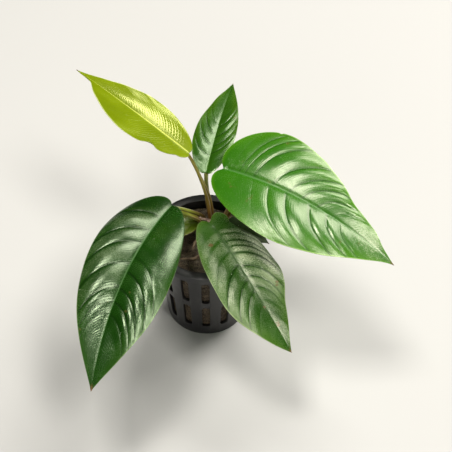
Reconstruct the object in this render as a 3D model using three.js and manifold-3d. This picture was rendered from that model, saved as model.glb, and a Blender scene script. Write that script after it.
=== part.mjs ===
// Short and sharp anubias in its planting basket.
// Seven pointed leaves stand on slender stalks that rise from a creeping rhizome. The rhizome lies half sunk
// in a plug of mineral wool, and the plug fills a small slotted basket of black plastic.
// Millimetres, +Z up. The origin is the middle of the basket's underside, and -Y faces the viewer.

import * as THREE from 'three';
import { mergeVertices } from 'three/addons/utils/BufferGeometryUtils.js';
import Module from 'manifold-3d';

// Clearance between pieces that touch
const GAP = 0.3;

// Planting basket
const BASKET_HEIGHT = 40;
const BASKET_FOOT_RADIUS = 15;
const BASKET_NECK_RADIUS = 18.2;
const BASKET_RIM_RADIUS = 20;
const BASKET_RIM_HEIGHT = 2.4;
const BASKET_WALL = 1.2;
const BASKET_FLOOR = 1.5;
const BASKET_FACETS = 28;
const SLOTS_AROUND = 14;
const SLOT_WIDTH = 3;
const SLOT_HEIGHT = 13;
const SLOT_TIERS = [5, 21];
const FLOOR_SLOTS = 7;
const FLOOR_SLOT_WIDTH = 2.4;
const FLOOR_SLOT_LENGTH = 6;
const FLOOR_SLOT_START = 5.5;

// Plug of mineral wool
const WOOL_TOP = 37.4;
const WOOL_CROWN = 0.9;
const WOOL_EDGE_DROP = 1.4;
const WOOL_FACETS = 28;
const WOOL_RINGS = [0.93, 0.72, 0.48, 0.24];
const WOOL_LUMP = 0.45;
const WOOL_WAVE = 0.6;

// Rhizome and roots
const RHIZOME_RADIUS = 4;
const RHIZOME_ROUTE = [[3.6, -12.5, 37.6], [3.4, -6, 39.4], [3, 1, 40.2], [2.6, 9, 40]];
const RHIZOME_ENDS = [0.03, 0.97];
const RHIZOME_END_SIZES = [0.88, 0.76];
const RHIZOME_SCARS = 5;
const RHIZOME_SCAR_DEPTH = 0.35;
const RHIZOME_FACETS = 10;
const ROOT_PROFILE = [[0.01, 0.6], [0.25, 0.75], [0.5, 0.68], [0.75, 0.56], [0.97, 0.4]];
const ROOT_FACETS = 6;
const ROOTS = {
  root_1: [[-1, 0.4, 38.7], [-3.3, -0.8, 38.8], [-4.3, -4, 38.6], [-5.2, -6.6, 36.2]],
  root_2: [[-0.8, -6.4, 38.4], [-4, -9.2, 38.4], [-8, -9, 37.9], [-11.6, -7.2, 35.4]],
  root_3: [[8.1, -4.4, 38.6], [11.2, -7, 38.1], [12.6, -10, 35.4]],
  root_4: [[-1.6, 5.4, 38.5], [-6, 8.6, 38.2], [-10, 10.2, 35.6]],
};

// Steps along the curve that a rhizome, a root or a stalk is bent to
const ROD_STEPS = 80;

// Stalks: sheathed in their lower part, thinnest below the blade, and led on for a little under the midrib
const STALK_SHEATH_SHARES = [0.18, 0.35];
const STALK_WAIST_SHARE = 0.5;
const STALK_NECK_SHARES = [0.7, 0.85, 0.93];
const STALK_END_RADIUS = 0.4;
const STALK_FACETS = 8;
const STALK_LEAD = 2.6;

// Blades: leathery, with a sunken midrib above, a keel below and swollen panels between the side veins
const BLADE_THICKNESS = 0.8;
const BLADE_EDGE_THICKNESS = 0.45;
const MIDRIB_GROOVE = 0.35;
const MIDRIB_KEEL = 0.55;
const KEEL_START = 0.06;
const KEEL_FULL = 0.16;
const KEEL_FULL_LENGTH = 60;
const SHOULDER = 0.6;
const LOBE_RISE = 0.3;
const TIP_HEIGHT = 0.17;
const VEIN_SWEEP = 1.8;
const VEIN_SPREAD = 1.1;
const VEIN_START = 0.2;
const VEIN_BOW = 0.75;
const PANEL_HEIGHT = 0.7;
const PANEL_CREST = 0.8;
const PANELS_RISE = [0.04, 0.25];
const PANELS_SINK = [0.75, 1];
const MARGIN_SHIFTS = [2.1, 0.4];
const LOBE_ROWS = [0.4, 1, 1.5];
const RIB_STEPS = 60;

// Colours
const BASKET_COLOUR = 0x0b0b0b;
const WOOL_COLOUR = 0x5a543e;
const RHIZOME_COLOUR = 0x4a5a26;
const ROOT_COLOUR = 0xb9a98a;
const STALK_COLOUR = 0x6f7a2a;
const BLADE_COLOUR = 0x3b7a24;
const YOUNG_STALK_COLOUR = 0x8a7a2c;
const YOUNG_BLADE_COLOUR = 0xa5b900;

// Each leaf's own sizes. Lengths are in millimetres and angles in degrees. A half's widest, lobe, belly and
// taper are shares of the blade's length, and left and right are those of someone who stands at the stalk and
// looks towards the tip.
const LEAVES = {
  right: {
    base: [6.6, 6.2, 69.3],
    foot: [6.4, 4.2, 42.6],
    lean: [2.8, 2.2, 8],
    stalk: { foot: 1.25, sheath: 1.3, neck: 1 },
    length: 69.5,
    left: { width: 21, widest: 0.22, lobe: 0.05, belly: 0.23, taper: 0.29 },
    right: { width: 19.6, widest: 0.4, lobe: 0.06, belly: 0.5, taper: 0.19 },
    heading: -29.3, turn: -3.4, rise: 11.7, droop: 41.5, roll: 11.5, twist: -0.9, fold: 12.2, curl: 0.18,
    veins: 10, panels: 1, wave: 0.4, waves: 4, columns: 5,
  },
  left: {
    base: [-11.6, -1.5, 58.5],
    foot: [-0.7, 4.5, 43.2],
    lean: [-3, -2.1, 6.8],
    stalk: { foot: 1.3, sheath: 1.7, neck: 1.4 },
    length: 75.5,
    left: { width: 16.2, widest: 0.47, lobe: 0.02, belly: 0.52, taper: 0.15 },
    right: { width: 16.2, widest: 0.32, lobe: 0.05, belly: 0.49, taper: 0.18 },
    heading: -120.5, turn: 20.5, rise: 8.7, droop: 41.4, roll: 0, twist: 0, fold: 11, curl: 0.2,
    veins: 10, panels: 1, wave: 0.4, waves: 3, columns: 5,
  },
  front: {
    base: [2.8, -3.7, 50.4],
    foot: [3.6, 0.2, 44.1],
    lean: [0, 0.6, 2.5],
    stalk: { foot: 1.2, sheath: 1.2, neck: 0.9 },
    length: 55.6,
    left: { width: 13.4, widest: 0.45, lobe: 0.14, belly: 0.25, taper: 0.25 },
    right: { width: 13.3, widest: 0.5, lobe: 0.09, belly: 0.53, taper: 0.1 },
    heading: -64, turn: 9.9, rise: 5.4, droop: 39.8, roll: -8.6, twist: 4.4, fold: 9.9, curl: 0.2,
    veins: 9, panels: 0.9, wave: 0.7, waves: 2.5, columns: 5,
  },
  young: {
    base: [-5.4, 6.9, 76.4],
    foot: [2.1, 4.2, 44],
    lean: [-1.2, 0.9, 11.5],
    stalk: { foot: 1.2, sheath: 1, neck: 0.6 },
    length: 52.2,
    left: { width: 13, widest: 0.39, lobe: 0.04, belly: 0.37, taper: 0.36 },
    right: { width: 8.6, widest: 0.37, lobe: 0.02, belly: 0.37, taper: 0.28 },
    heading: 145.7, turn: -7.4, rise: 18.7, droop: 16, roll: 3.8, twist: -0.2, fold: 23.8, curl: 0.12,
    veins: 10, panels: 0.3, wave: 1.2, waves: 5, columns: 5,
  },
  back: {
    base: [0.3, 9.9, 63.2],
    foot: [1.7, 8, 43.6],
    lean: [-1, 0.6, 9],
    stalk: { foot: 1.1, sheath: 1.1, neck: 0.8 },
    length: 47.4,
    left: { width: 8, widest: 0.33, lobe: 0.03, belly: 0.37, taper: 0.22 },
    right: { width: 7.8, widest: 0.36, lobe: 0.03, belly: 0.41, taper: 0.18 },
    heading: 78.8, turn: -1.8, rise: 11.2, droop: 23.6, roll: -2.3, twist: -1.2, fold: 15, curl: 0.15,
    veins: 8, panels: 0.6, wave: 0.4, waves: 3, columns: 4,
  },
  small: {
    base: [-2.7, 2.5, 44.4],
    foot: [-1.2, 1.4, 41],
    lean: [-0.3, 0.3, 1.2],
    stalk: { foot: 0.8, sheath: 0.8, neck: 0.6 },
    length: 31,
    left: { width: 7.2, widest: 0.36, lobe: 0.03, belly: 0.4, taper: 0.25 },
    right: { width: 4.8, widest: 0.36, lobe: 0.03, belly: 0.4, taper: 0.25 },
    heading: 186, turn: 4, rise: 4, droop: 16, roll: -8, twist: 4, fold: 12, curl: 0.15,
    veins: 6, panels: 0.35, wave: 0.3, waves: 3, columns: 3,
  },
  low: {
    base: [7.6, 1.6, 45.4],
    foot: [6.7, 1.9, 42.3],
    lean: [0.2, 0, 1.4],
    stalk: { foot: 0.8, sheath: 0.8, neck: 0.6 },
    length: 21,
    left: { width: 6.2, widest: 0.36, lobe: 0.03, belly: 0.4, taper: 0.25 },
    right: { width: 6.2, widest: 0.36, lobe: 0.03, belly: 0.4, taper: 0.25 },
    heading: -31, turn: 4, rise: 6, droop: 22, roll: 0, twist: 0, fold: 14, curl: 0.15,
    veins: 6, panels: 0.35, wave: 0.3, waves: 3, columns: 3,
  },
};

const wasm = await Module();
wasm.setup();

const part = new THREE.Group();

function addPiece(name, geometry, color, roughness) {
  const mesh = new THREE.Mesh(geometry, new THREE.MeshStandardMaterial({ color, roughness, metalness: 0 }));
  mesh.name = name;
  part.add(mesh);
}

// A closed geometry with its shared corners merged and its empty triangles dropped, as a solid
function solidOf(geometry) {
  const bare = geometry.clone();
  bare.deleteAttribute('normal');
  bare.deleteAttribute('uv');
  const merged = mergeVertices(bare);
  const corners = merged.getIndex().array;
  const kept = [];
  for (let i = 0; i < corners.length; i += 3) {
    const [a, b, c] = [corners[i], corners[i + 1], corners[i + 2]];
    if (a !== b && b !== c && c !== a) kept.push(a, b, c);
  }
  const vertProperties = new Float32Array(merged.getAttribute('position').array);
  return new wasm.Manifold(new wasm.Mesh({ numProp: 3, vertProperties, triVerts: new Uint32Array(kept) }));
}

function geometryOf(solid) {
  const mesh = solid.getMesh();
  const geometry = new THREE.BufferGeometry();
  geometry.setAttribute('position', new THREE.BufferAttribute(mesh.vertProperties, 3));
  geometry.setIndex(new THREE.BufferAttribute(mesh.triVerts, 1));
  return geometry;
}

// A turned solid with its axis upright
function turned(profile, facets) {
  const points = profile.map(([radius, height]) => new THREE.Vector2(radius, height));
  return new THREE.LatheGeometry(points, facets).rotateX(Math.PI / 2);
}

function curveThrough(points) {
  return new THREE.CatmullRomCurve3(points.map((point) => new THREE.Vector3(...point)));
}

// A rod that is turned from a profile of [share of its length, radius] and then bent along a curve
function bentRod(curve, profile, facets) {
  const frames = curve.computeFrenetFrames(ROD_STEPS, false);
  const ends = [[0, 0], ...profile.map(([share, radius]) => [radius, share]), [0, 1]];
  const points = ends.map(([radius, share]) => new THREE.Vector2(radius, share));
  const geometry = new THREE.LatheGeometry(points, facets);
  const places = geometry.getAttribute('position');
  const place = new THREE.Vector3();
  for (let i = 0; i < places.count; i++) {
    const share = places.getY(i);
    const step = Math.round(share * ROD_STEPS);
    curve.getPointAt(share, place);
    place.addScaledVector(frames.binormals[step], places.getX(i));
    place.addScaledVector(frames.normals[step], places.getZ(i));
    places.setXYZ(i, place.x, place.y, place.z);
  }
  return geometry;
}

// Basket: a tapered cup with a lip, slotted in two tiers round the wall and once round the floor
function wallRadius(height) {
  return THREE.MathUtils.mapLinear(height, 0, BASKET_HEIGHT, BASKET_FOOT_RADIUS, BASKET_NECK_RADIUS);
}

function basket() {
  const rimFoot = BASKET_HEIGHT - BASKET_RIM_HEIGHT;
  const cup = solidOf(turned([
    [0, 0],
    [BASKET_FOOT_RADIUS, 0],
    [wallRadius(rimFoot - BASKET_WALL), rimFoot - BASKET_WALL],
    [BASKET_RIM_RADIUS, rimFoot],
    [BASKET_RIM_RADIUS, BASKET_HEIGHT],
    [BASKET_NECK_RADIUS - BASKET_WALL, BASKET_HEIGHT],
    [wallRadius(BASKET_FLOOR) - BASKET_WALL, BASKET_FLOOR],
    [0, BASKET_FLOOR],
  ], BASKET_FACETS));
  const cutters = [];
  const depth = BASKET_NECK_RADIUS;
  for (let i = 0; i < SLOTS_AROUND; i++) {
    const angle = ((i + 0.5) / SLOTS_AROUND) * 2 * Math.PI;
    for (const foot of SLOT_TIERS) {
      const slot = new THREE.BoxGeometry(depth, SLOT_WIDTH, SLOT_HEIGHT);
      slot.translate(BASKET_FOOT_RADIUS / 2 + depth / 2, 0, foot + SLOT_HEIGHT / 2).rotateZ(angle);
      cutters.push(slot);
    }
  }
  for (let i = 0; i < FLOOR_SLOTS; i++) {
    const slot = new THREE.BoxGeometry(FLOOR_SLOT_LENGTH, FLOOR_SLOT_WIDTH, 4 * BASKET_FLOOR);
    slot.translate(FLOOR_SLOT_START + FLOOR_SLOT_LENGTH / 2, 0, 0).rotateZ((i / FLOOR_SLOTS) * 2 * Math.PI);
    cutters.push(slot);
  }
  let shell = cup;
  for (const cutter of cutters) shell = shell.subtract(solidOf(cutter));
  return geometryOf(shell);
}

// Rhizome: a creeping stem, ringed where old leaves have dropped
function rhizome(extra) {
  const profile = [];
  const rings = RHIZOME_SCARS * 2;
  for (let i = 0; i <= rings; i++) {
    const share = i / rings;
    const size = THREE.MathUtils.lerp(...RHIZOME_END_SIZES, share);
    const swell = size + (1 - size) * Math.sin(Math.PI * share);
    const scar = i % 2 === 1 ? RHIZOME_SCAR_DEPTH : 0;
    profile.push([THREE.MathUtils.lerp(...RHIZOME_ENDS, share), RHIZOME_RADIUS * swell - scar + extra]);
  }
  return bentRod(curveThrough(RHIZOME_ROUTE), profile, RHIZOME_FACETS);
}

function root(points, extra) {
  const profile = ROOT_PROFILE.map(([share, radius]) => [share, radius + extra]);
  return bentRod(curveThrough(points), profile, ROOT_FACETS);
}

// Wool: fills the basket, bulges a little above its edge, and is pressed in under the rhizome and the roots
function woolPlug() {
  const inner = (height) => wallRadius(height) - BASKET_WALL - GAP;
  const foot = BASKET_FLOOR + GAP;
  const shoulder = WOOL_TOP - WOOL_EDGE_DROP;
  const top = WOOL_RINGS.map((share) => [share * inner(WOOL_TOP), WOOL_TOP + WOOL_CROWN * (1 - share * share)]);
  const geometry = turned([
    [0, foot],
    [inner(foot), foot],
    [inner(shoulder), shoulder],
    ...top,
    [0, WOOL_TOP + WOOL_CROWN],
  ], WOOL_FACETS);
  const places = geometry.getAttribute('position');
  for (let i = 0; i < places.count; i++) {
    const [x, y, z] = [places.getX(i), places.getY(i), places.getZ(i)];
    const lump = Math.cos(WOOL_WAVE * x) * Math.sin(WOOL_WAVE * y) + Math.sin(2 * WOOL_WAVE * (x - y)) / 2;
    if (z > shoulder + GAP) places.setZ(i, z + WOOL_LUMP * lump);
  }
  let plug = solidOf(geometry).subtract(solidOf(rhizome(GAP)));
  for (const points of Object.values(ROOTS)) plug = plug.subtract(solidOf(root(points, GAP)));
  return geometryOf(plug);
}

// Half of a blade's outline in its own plane, from the notch at the stalk to the tip
function halfOutline(leaf, half) {
  const { length } = leaf;
  const { width } = half;
  const widest = half.widest * length;
  const lobe = half.lobe * length;
  const rest = length - widest;
  const point = (x, y) => new THREE.Vector2(x, y);
  const outline = new THREE.CurvePath();
  outline.add(new THREE.CubicBezierCurve(
    point(0, 0),
    point(-2 * lobe, LOBE_RISE * width),
    point(widest - SHOULDER * (widest + lobe), width),
    point(widest, width),
  ));
  outline.add(new THREE.CubicBezierCurve(
    point(widest, width),
    point(widest + half.belly * rest, width),
    point(length - half.taper * rest, TIP_HEIGHT * width),
    point(length, 0),
  ));
  return outline;
}

// The side vein that leaves the midrib at a share of the way to the tip, bowed towards the tip
function sideVein(leaf, half, outline, share) {
  const start = new THREE.Vector2(leaf.length * Math.pow(share, VEIN_SPREAD), 0);
  const end = outline.getPoint(1 - Math.pow(1 - share, VEIN_SWEEP));
  const bow = new THREE.Vector2(start.x + VEIN_START * (end.x - start.x), VEIN_BOW * end.y);
  return new THREE.QuadraticBezierCurve(start, bow, end);
}

// The midrib's direction, and the directions across and above the blade, at a share of its length
function ribDirections(leaf, share) {
  const heading = THREE.MathUtils.degToRad(leaf.heading + leaf.turn * share);
  const rise = THREE.MathUtils.degToRad(leaf.rise - leaf.droop * share);
  const roll = THREE.MathUtils.degToRad(leaf.roll + leaf.twist * share);
  const along = new THREE.Vector3(
    Math.cos(rise) * Math.cos(heading),
    Math.cos(rise) * Math.sin(heading),
    Math.sin(rise),
  );
  const level = new THREE.Vector3(-Math.sin(heading), Math.cos(heading), 0);
  const across = level.clone().applyAxisAngle(along, roll);
  const above = new THREE.Vector3().crossVectors(along, across);
  return { along, across, above };
}

// The midrib as a chain of short steps from the stalk to the tip
function midrib(leaf) {
  const places = [new THREE.Vector3(...leaf.base)];
  for (let i = 0; i < RIB_STEPS; i++) {
    const { along } = ribDirections(leaf, (i + 0.5) / RIB_STEPS);
    places.push(places[i].clone().addScaledVector(along, leaf.length / RIB_STEPS));
  }
  return (share) => {
    const at = THREE.MathUtils.clamp(share, 0, 1) * RIB_STEPS;
    const below = Math.min(Math.floor(at), RIB_STEPS - 1);
    const place = places[below].clone().lerp(places[below + 1], at - below);
    const directions = ribDirections(leaf, THREE.MathUtils.clamp(share, 0, 1));
    if (share < 0) place.addScaledVector(directions.along, share * leaf.length);
    return { place, ...directions };
  };
}

// A point of the flat outline, laid on the folded and drooping blade and raised off it
function onBlade(leaf, rib, x, y, raise) {
  const fold = THREE.MathUtils.degToRad(leaf.fold);
  const meanWidth = (leaf.left.width + leaf.right.width) / 2;
  const { place, across, above } = rib(x / leaf.length);
  const height = Math.abs(y) * Math.sin(fold) - (leaf.curl * y * y) / meanWidth;
  return place.addScaledVector(across, y * Math.cos(fold)).addScaledVector(above, height + raise);
}

// How far a swollen panel, a ripple of the margin or the sunken midrib moves the blade's surface
function relief(leaf, share, outward, side) {
  const { smoothstep } = THREE.MathUtils;
  const fade = smoothstep(share, ...PANELS_RISE) * (1 - smoothstep(share, ...PANELS_SINK));
  const panel = (1 - Math.cos(2 * Math.PI * leaf.veins * share)) / 2;
  const swell = leaf.panels * PANEL_HEIGHT * panel * fade * Math.sin(Math.PI * Math.pow(outward, PANEL_CREST));
  const shift = MARGIN_SHIFTS[side > 0 ? 1 : 0];
  const ripple = leaf.wave * outward * outward * Math.sin(2 * Math.PI * leaf.waves * share + shift);
  return swell + ripple * Math.sin(Math.PI * share);
}

// The shares of the way to the tip at which a blade has a row of corners: one on each side vein and one on
// each panel, and two more where the lobes turn round the notch
function rowShares(leaf) {
  const count = 2 * leaf.veins;
  const shares = LOBE_ROWS.map((row) => row / count);
  for (let i = 2; i < count; i++) shares.push(i / count);
  return shares;
}

function blade(leaf) {
  const rib = midrib(leaf);
  const { columns } = leaf;
  const shares = rowShares(leaf);
  const rows = shares.length + 1;
  const outlines = { left: halfOutline(leaf, leaf.left), right: halfOutline(leaf, leaf.right) };
  const positions = [];
  const add = (point) => positions.push(point.x, point.y, point.z);
  add(onBlade(leaf, rib, 0, 0, 0));
  add(onBlade(leaf, rib, leaf.length, 0, 0));
  for (const share of shares) {
    const veins = {
      left: sideVein(leaf, leaf.left, outlines.left, share),
      right: sideVein(leaf, leaf.right, outlines.right, share),
    };
    for (let column = -columns; column <= columns; column++) {
      const outward = Math.abs(column) / columns;
      const side = column < 0 ? -1 : 1;
      const flat = veins[column < 0 ? 'right' : 'left'].getPoint(outward);
      const middle = column === 0;
      const thickness = THREE.MathUtils.lerp(BLADE_THICKNESS, BLADE_EDGE_THICKNESS, outward);
      const lift = relief(leaf, share, outward, side);
      const start = THREE.MathUtils.smoothstep(share, KEEL_START, KEEL_FULL);
      const rise = middle ? start * (1 - share) * Math.min(1, leaf.length / KEEL_FULL_LENGTH) : 0;
      const groove = MIDRIB_GROOVE * rise;
      const keel = MIDRIB_KEEL * rise;
      add(onBlade(leaf, rib, flat.x, side * flat.y, lift + thickness / 2 - groove));
      add(onBlade(leaf, rib, flat.x, side * flat.y, lift - thickness / 2 - keel));
    }
  }
  const across = 2 * columns + 1;
  const [notch, tip] = [0, 1];
  const top = (row, column) => 2 + 2 * ((row - 1) * across + column);
  const under = (row, column) => top(row, column) + 1;
  const index = [];
  const quad = (a, b, c, d) => index.push(a, b, c, a, c, d);
  for (let column = 0; column < across - 1; column++) {
    index.push(notch, top(1, column), top(1, column + 1));
    index.push(notch, under(1, column + 1), under(1, column));
    index.push(top(rows - 1, column), tip, top(rows - 1, column + 1));
    index.push(under(rows - 1, column + 1), tip, under(rows - 1, column));
    for (let row = 1; row < rows - 1; row++) {
      quad(top(row, column), top(row + 1, column), top(row + 1, column + 1), top(row, column + 1));
      quad(under(row, column + 1), under(row + 1, column + 1), under(row + 1, column), under(row, column));
    }
  }
  const edge = across - 1;
  index.push(notch, top(1, edge), under(1, edge), notch, under(1, 0), top(1, 0));
  index.push(top(rows - 1, edge), tip, under(rows - 1, edge), under(rows - 1, 0), tip, top(rows - 1, 0));
  for (let row = 1; row < rows - 1; row++) {
    quad(top(row, edge), top(row + 1, edge), under(row + 1, edge), under(row, edge));
    quad(under(row, 0), under(row + 1, 0), top(row + 1, 0), top(row, 0));
  }
  const geometry = new THREE.BufferGeometry();
  geometry.setAttribute('position', new THREE.Float32BufferAttribute(positions, 3));
  geometry.setIndex(index);
  return geometry;
}

// Stalk: rises from the rhizome and runs on for a little below the blade's midrib
function stalk(leaf) {
  const rib = midrib(leaf);
  const { stalk: radii } = leaf;
  const below = (radius) => BLADE_THICKNESS / 2 + GAP + radius;
  const start = rib(0);
  const joint = start.place.clone().addScaledVector(start.above, -below(radii.neck));
  const lead = rib(STALK_LEAD / leaf.length);
  const end = lead.place.clone().addScaledVector(lead.above, -below(STALK_END_RADIUS));
  const foot = new THREE.Vector3(...leaf.foot);
  const middle = foot.clone().add(new THREE.Vector3(...leaf.lean));
  const curve = new THREE.CatmullRomCurve3([foot, middle, joint, end]);
  const profile = [
    [0, radii.foot],
    ...STALK_SHEATH_SHARES.map((share) => [share, radii.sheath]),
    [STALK_WAIST_SHARE, (radii.sheath + radii.neck) / 2],
    ...STALK_NECK_SHARES.map((share) => [share, radii.neck]),
    [1, STALK_END_RADIUS],
  ];
  return bentRod(curve, profile, STALK_FACETS);
}

addPiece('net_pot', basket(), BASKET_COLOUR, 0.45);
addPiece('wool_plug', woolPlug(), WOOL_COLOUR, 1);
addPiece('rhizome', rhizome(0), RHIZOME_COLOUR, 0.7);
for (const [name, points] of Object.entries(ROOTS)) addPiece(name, root(points, 0), ROOT_COLOUR, 0.7);
for (const [name, leaf] of Object.entries(LEAVES)) {
  const young = name === 'young';
  addPiece(`stem_${name}`, stalk(leaf), young ? YOUNG_STALK_COLOUR : STALK_COLOUR, 0.5);
  addPiece(`leaf_${name}`, blade(leaf), young ? YOUNG_BLADE_COLOUR : BLADE_COLOUR, 0.4);
}

export default part;
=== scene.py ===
# Short and sharp anubias in its planting basket. Seven pointed, leathery leaves stand on grooved stalks, and
# the stalks rise from a creeping rhizome that lies half sunk in mineral wool, in a small slotted basket.
# Metres, +Z up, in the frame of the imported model.
import math

import bpy
import numpy as np
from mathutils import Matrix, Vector, noise


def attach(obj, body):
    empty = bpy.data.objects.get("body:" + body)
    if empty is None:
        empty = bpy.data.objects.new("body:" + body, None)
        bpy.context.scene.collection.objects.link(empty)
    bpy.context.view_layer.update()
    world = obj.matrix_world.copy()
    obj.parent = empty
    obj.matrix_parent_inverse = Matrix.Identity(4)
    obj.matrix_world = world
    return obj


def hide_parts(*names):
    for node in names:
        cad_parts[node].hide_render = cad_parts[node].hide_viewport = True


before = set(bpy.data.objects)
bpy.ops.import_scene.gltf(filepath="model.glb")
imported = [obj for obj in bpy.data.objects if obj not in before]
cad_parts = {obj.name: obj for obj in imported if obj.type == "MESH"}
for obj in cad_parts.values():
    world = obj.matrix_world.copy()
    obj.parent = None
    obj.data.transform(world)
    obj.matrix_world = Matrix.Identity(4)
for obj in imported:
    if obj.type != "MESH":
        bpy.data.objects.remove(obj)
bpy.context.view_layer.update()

scene = bpy.context.scene
MM = 0.001

# The view
# The camera stands in front of the plant and looks steeply down on it, so that the large leaves fall towards
# it and the basket is almost hidden below them.
VIEW_ELEVATION = math.radians(50)
VIEW_DISTANCE = 460 * MM
VIEW_CENTRE = Vector((7.4 * MM, 0.5 * MM, 45 * MM))
PICTURE_PIXELS = 452
FOCAL_PIXELS = 1277.8

towards_camera = Vector((0, -math.cos(VIEW_ELEVATION), math.sin(VIEW_ELEVATION)))
bpy.ops.object.camera_add(
    location=VIEW_CENTRE + VIEW_DISTANCE * towards_camera,
    rotation=(math.pi / 2 - VIEW_ELEVATION, 0, 0),
)
camera = bpy.context.object
camera.data.lens = camera.data.sensor_width * FOCAL_PIXELS / PICTURE_PIXELS
scene.camera = camera
scene.view_settings.view_transform = "Standard"

# The floor and the light
# A plain pale floor and soft panels of warm white light: overhead, behind at two heights, in front to the
# right, and a large weak one low in front. Their reflections give the leaves their pale sheen, and on three
# leaves painted sheen adds to it.
FLOOR_WIDTH = 6
FLOOR_PATCHES = 3
FLOOR_GREY = (0.5, 0.5, 0.49)
FLOOR_PALE = (0.54, 0.54, 0.53)
LIGHT_AIM = Vector((0, 0, 0.05))
LIGHT_WARMTH = (1, 0.965, 0.9)
LIGHTS = (
    ("overhead_panel", (-0.18, -0.02, 1.03), (0.25, 0.25), 6),
    ("high_rear_panel", (0.29, 0.47, 0.93), (0.5, 0.27), 5.9),
    ("low_rear_panel", (0.61, 0.56, 0.69), (0.44, 0.44), 5.8),
    ("front_panel", (0.32, -0.38, 0.9), (0.22, 0.28), 5),
    ("low_front_panel", (-0.2, -1.5, 0.65), (1.6, 0.9), 8.5),
)
SKY_COLOUR = (0.9, 0.95, 1, 1)
SKY_STRENGTH = 0.03


def new_material(name):
    """A material, its node tree and its shader."""
    material = bpy.data.materials.new(name)
    material.use_nodes = True
    return material, material.node_tree, material.node_tree.nodes["Principled BSDF"]


def two_tones(tree, mask, low, high, start=0.3, end=0.7):
    """A colour that goes from low to high as a mask does."""
    ramp = tree.nodes.new("ShaderNodeValToRGB")
    for element, colour, place in zip(ramp.color_ramp.elements, (low, high), (start, end)):
        element.color = (*colour, 1)
        element.position = place
    tree.links.new(mask, ramp.inputs["Fac"])
    return ramp.outputs["Color"]


bpy.ops.object.select_all(action="DESELECT")
bpy.ops.mesh.primitive_plane_add(size=FLOOR_WIDTH)
floor = bpy.context.object
floor.name = "floor"
material, tree, shader = new_material("pale_floor")
patches = tree.nodes.new("ShaderNodeTexNoise")
patches.inputs["Scale"].default_value = FLOOR_PATCHES
colour = two_tones(tree, patches.outputs["Fac"], FLOOR_GREY, FLOOR_PALE, 0, 1)
tree.links.new(colour, shader.inputs["Base Color"])
shader.inputs["Roughness"].default_value = 0.9
floor.data.materials.append(material)

for name, place, (width, height), power in LIGHTS:
    bpy.ops.object.light_add(type="AREA", location=place)
    light = bpy.context.object
    light.name = name
    light.data.shape = "RECTANGLE"
    light.data.size = width
    light.data.size_y = height
    light.data.energy = power
    light.data.color = LIGHT_WARMTH
    light.rotation_euler = (light.location - LIGHT_AIM).to_track_quat("Z", "Y").to_euler()
world = bpy.data.worlds.new("soft_room")
world.use_nodes = True
world.node_tree.nodes["Background"].inputs["Color"].default_value = SKY_COLOUR
world.node_tree.nodes["Background"].inputs["Strength"].default_value = SKY_STRENGTH
scene.world = world

# The basket
# A small tapered cup of black plastic, moulded in one piece, with a lip round its top and two tiers of
# upright slots, so that roots and water can pass. Its floor has slots as well.
BASKET_HEIGHT = 40 * MM
BASKET_FOOT_RADIUS = 15 * MM
BASKET_NECK_RADIUS = 18.2 * MM
BASKET_RIM_RADIUS = 20 * MM
BASKET_RIM_HEIGHT = 2.4 * MM
BASKET_WALL = 1.2 * MM
BASKET_FLOOR = 1.5 * MM
BASKET_SIDES = 112
BASKET_EDGE = 0.18 * MM
SLOTS_AROUND = 14
SLOT_WIDTH = 3 * MM
SLOT_HEIGHT = 13 * MM
SLOT_TIERS = (5 * MM, 21 * MM)
FLOOR_SLOTS = 7
FLOOR_SLOT_WIDTH = 2.4 * MM
FLOOR_SLOT_LENGTH = 6 * MM
FLOOR_SLOT_START = 5.5 * MM
SLOT_ROUNDING = 0.35
PLASTIC_BLACK = (0.012, 0.012, 0.013)
PLASTIC_WORN = (0.035, 0.034, 0.033)


def wall_radius(height):
    return BASKET_FOOT_RADIUS + (BASKET_NECK_RADIUS - BASKET_FOOT_RADIUS) * height / BASKET_HEIGHT


def select_only(obj, kind, chosen):
    """Leaves only the faces or edges for which chosen is true selected, in edit mode."""
    bpy.ops.object.mode_set(mode="EDIT")
    bpy.ops.mesh.select_mode(type=kind)
    bpy.ops.mesh.select_all(action="DESELECT")
    bpy.ops.object.mode_set(mode="OBJECT")
    for element in obj.data.polygons if kind == "FACE" else obj.data.edges:
        element.select = chosen(element)
    bpy.ops.object.mode_set(mode="EDIT")


def faces_up(face):
    return face.normal.z > 0.9


def raise_top(radius, radius_before, rise):
    """Draws the selected round face up by a height, to a new radius."""
    bpy.ops.mesh.extrude_region_move(TRANSFORM_OT_translate={"value": (0, 0, rise)})
    scale = radius / radius_before
    bpy.ops.transform.resize(value=(scale, scale, 1))


def apply_modifiers(obj):
    bpy.context.view_layer.objects.active = obj
    for modifier in list(obj.modifiers):
        bpy.ops.object.modifier_apply(modifier=modifier.name)


def set_piece(obj, name, node, material, angle=60):
    """Names a finished piece, gives it its material and puts it in the place of its CAD node."""
    obj.name = name
    obj.data.name = name
    obj.data.materials.clear()
    obj.data.materials.append(material)
    bpy.ops.object.select_all(action="DESELECT")
    obj.select_set(True)
    bpy.context.view_layer.objects.active = obj
    bpy.ops.object.transform_apply(location=True, rotation=True, scale=True)
    bpy.ops.object.shade_smooth_by_angle(angle=math.radians(angle))
    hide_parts(node)
    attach(obj, "root")


def set_or_link(tree, value, socket):
    """Gives a socket a value, which is a number, a colour or the output of a node."""
    if isinstance(value, (int, float)):
        socket.default_value = value
    elif isinstance(value, tuple):
        socket.default_value = (*value, 1)
    else:
        tree.links.new(value, socket)


def new_group(name, takes, gives):
    """A shared effect: its node tree, the values that it takes and the places for those that it gives."""
    tree = bpy.data.node_groups.new(name, "ShaderNodeTree")
    for way, names in (("INPUT", takes), ("OUTPUT", gives)):
        for socket in names:
            tree.interface.new_socket(socket, in_out=way, socket_type="NodeSocketFloat")
    return tree, tree.nodes.new("NodeGroupInput").outputs, tree.nodes.new("NodeGroupOutput").inputs


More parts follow.
